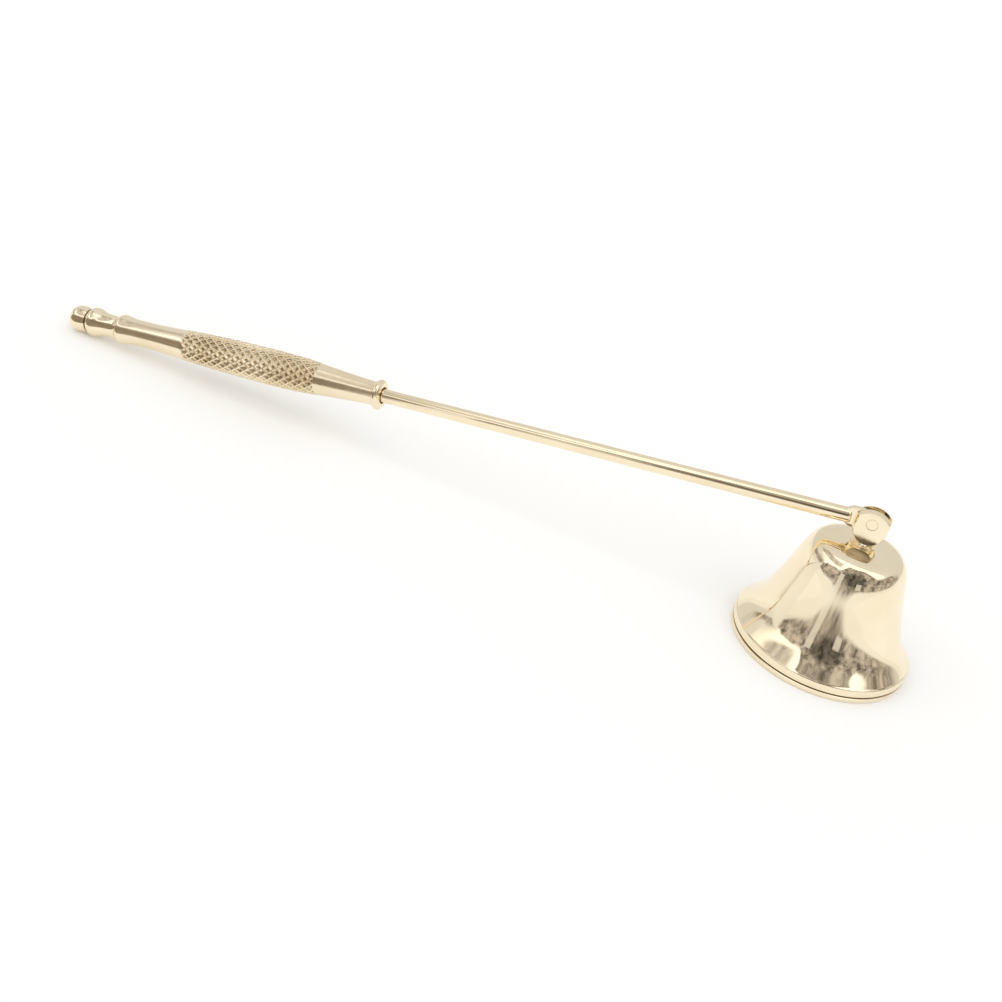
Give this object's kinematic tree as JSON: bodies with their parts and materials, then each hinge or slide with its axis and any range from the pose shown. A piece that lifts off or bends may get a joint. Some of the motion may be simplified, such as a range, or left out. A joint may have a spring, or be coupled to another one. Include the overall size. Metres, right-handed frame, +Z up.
{
  "type": "candle snuffer",
  "caption": "Bell-shaped candle snuffer: a small polished bell swings on a hinge at the end of a slender rod with a turned, knurled handle.",
  "frame": {"origin": "on the table, at the centre of the floor rectangle that the snuffer covers when it stands on its bell", "axes": "+X along the stick towards the bell, +Z up, +Y along the hinge rivet"},
  "size_m": [0.2336, 0.042, 0.0378],
  "materials": {
    "polished_gold": "polished",
    "satin_gold": "satin",
    "fixing_steel": "bright zinc"
  },
  "bodies": {
    "stick": {"stem": "polished_gold", "handle_collar": "polished_gold", "handle_grip": "satin_gold", "handle_tail": "polished_gold"},
    "bell_head": {"bell": "polished_gold", "bell_post": "polished_gold", "hinge_rivet": "polished_gold", "post_washer": "fixing_steel", "post_spring_washer": "fixing_steel", "post_nut": "fixing_steel"}
  },
  "joints": [
    {"name": "bell_swing", "type": "hinge", "parent": "stick", "child": "bell_head", "pos_m": [0.09579, 0, 0.0348], "axis": [0, 1, 0], "range_deg": [-216, 19]}
  ]
}
